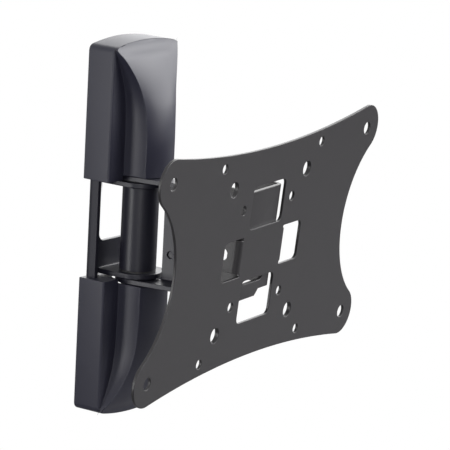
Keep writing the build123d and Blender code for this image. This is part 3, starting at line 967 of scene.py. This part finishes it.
def hexLoop(flats, height, sign):
    # the curved edge that the cone leaves on a hexagon
    loop = []
    for angle in turnAngles(hexForm["points"]):
        radius = hexRadius(angle, flats)
        fall = sign * hexFall(radius, flats)
        loop.append((radius * math.cos(angle), radius * math.sin(angle), height - fall))
    return loop


def hexHead(s, low):
    count, flats = hexForm["points"], s["flats"]
    inner = flats / 2 * hexForm["flatShare"]
    collar, high = low + hexForm["collar"], low + s["head"]
    return lofted([
        circle(inner, low, count), circle(inner, collar, count), hexLoop(flats, collar, 0),
        hexLoop(flats, high, 1), circle(inner, high, count),
        circle(inner * hexForm["crater"], high, count),
    ])


def threadedShank(s, low, high, threadLow):
    # smooth to the thread, then a helical groove to a chamfered tip
    t = threadForm
    count, radius, pitch = t["points"], s["size"] / 2, s["pitch"]
    depth = pitch * t["depth"]
    loops = [circle(radius, high, count), circle(radius, threadLow, count)]
    steps = round((threadLow - low) / pitch * t["perPitch"])
    for step in range(1, steps + 1):
        height = threadLow - (threadLow - low) * step / steps
        fade = min(1, step / t["fadeSteps"], t["fadeOut"] * (steps - step + 1) / t["fadeSteps"])
        tip = max(0, depth - (height - low))
        loop = []
        for angle in turnAngles(count):
            groove = abs(2 * ((height / pitch - angle / math.tau) % 1) - 1)
            reach = min(radius - groove * depth * fade, radius - tip)
            loop.append((reach * math.cos(angle), reach * math.sin(angle), height))
        loops.append(loop)
    return lofted(loops)


def hexNut(s, low):
    bore, lead, high = s["size"] / 2 - nutForm["threadDepth"], nutForm["lead"], low + s["nut"]
    inner = s["flats"] / 2 * hexForm["flatShare"]
    rings = []
    for angle in turnAngles(hexForm["points"]):
        radius = hexRadius(angle, s["flats"])
        fall = hexFall(radius, s["flats"])
        profile = [
            (bore, low + lead), (bore + lead, low), (inner, low), (radius, low + fall),
            (radius, high - fall), (inner, high), (bore + lead, high), (bore, high - lead),
        ]
        rings.append([(r * math.cos(angle), r * math.sin(angle), z) for r, z in profile])
    return lofted(rings, True)


def ringProfile(outer, bore, low, high, edge):
    return [
        (bore / 2, low), (outer / 2 - edge, low), (outer / 2, low + edge),
        (outer / 2, high - edge), (outer / 2 - edge, high), (bore / 2, high),
    ]


def ringPair(outer, bore, near, sheet, edge, paint):
    # two flat rings, the same distance above and below the middle
    profile = ringProfile(outer, bore, -sheet / 2, sheet / 2, edge)
    return repeated(spun(profile, ringForm["points"]), 1, 2, 0, 2 * near + sheet, paint)


def splitRing(outer, bore, low, high):
    # a coil of one turn with its cut ends slightly apart
    count, gap = splitForm["points"], splitForm["gap"]
    rise = (high - low) * splitForm["rise"]
    rings = []
    for k in range(count + 1):
        angle = gap + (math.tau - 2 * gap) * k / count
        lift = rise * k / count
        profile = ringProfile(outer, bore, low + lift, high - rise + lift, splitForm["edge"])
        rings.append([(r * math.cos(angle), r * math.sin(angle), z) for r, z in profile])
    return lofted(rings)


def makeFasteners(s, matrix, body, kind):
    grip, sheet = s["gripHalf"], s["washerSheet"]
    headLow, nutTop = grip + sheet, -grip - sheet - s["springSheet"]
    nutLow = nutTop - s["nut"]
    shank = threadedShank(
        s, nutLow - s["tipOut"], headLow + threadForm["overlap"], nutTop - threadForm["plain"],
    )
    made = {
        "_bolt": joined("bolt", hexHead(s, headLow), shank),
        "_nut": hexNut(s, nutLow),
        "_spring_washer": splitRing(s["spring"], s["bore"], nutTop, nutTop + s["springSheet"]),
        "_washers": ringPair(s["washer"], s["bore"], grip, sheet, ringForm["edge"], steel),
    }
    for ending, piece in made.items():
        node = kind + ending
        piece = turnedSmooth(node + "_turned", placed(piece, matrix))
        dress(piece, steel, body, "black_steel", node)


makeFasteners(pinBolt, pinFrame, "wall_bracket", "pivot")
makeFasteners(tiltBolt, tiltBoltFrame @ turned(180, "X"), "tilt_head", "tilt")
print("fasteners made")

# barrel through the yoke's nose, with friction discs at its ends
barrel = dict(
    size=14.0, bore=6.2, half=13.7, edge=0.4, points=72, disc=13.0, discSheet=0.8, discEdge=0.15,
    weld=1.5, weldWaist=0.6, weldShoulder=0.55, weldRoot=0.01,
)


def makeBarrel():
    b = barrel
    half, weld, radius, edge = b["half"], b["weld"], b["size"] / 2, b["edge"]
    bore = b["bore"] / 2
    return spun([
        (bore, -half), (radius - edge, -half), (radius, -half + edge), (radius, -weld),
        (radius + weld * b["weldShoulder"], -weld * b["weldWaist"]), (radius + weld, 0),
        (radius, b["weldRoot"]), (radius, half - edge), (radius - edge, half), (bore, half),
    ], b["points"])


tube = turnedSmooth("barrel_turned", placed(makeBarrel(), tiltBoltFrame))
dress(tube, armCoat, "swivel_arm", "powder_coat", "tilt_barrel")
discs = ringPair(
    barrel["disc"], barrel["bore"], barrel["half"], barrel["discSheet"], barrel["discEdge"], nylon,
)
discs.name = "discs_turned"
dress(placed(discs, tiltBoltFrame), nylon, "tilt_head", "nylon", "tilt_friction_discs")

for node in ("sleeve_washers", "swivel_washers"):
    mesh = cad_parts[node].data
    mesh.materials.clear()
    mesh.materials.append(nylon)
print("finishes set")
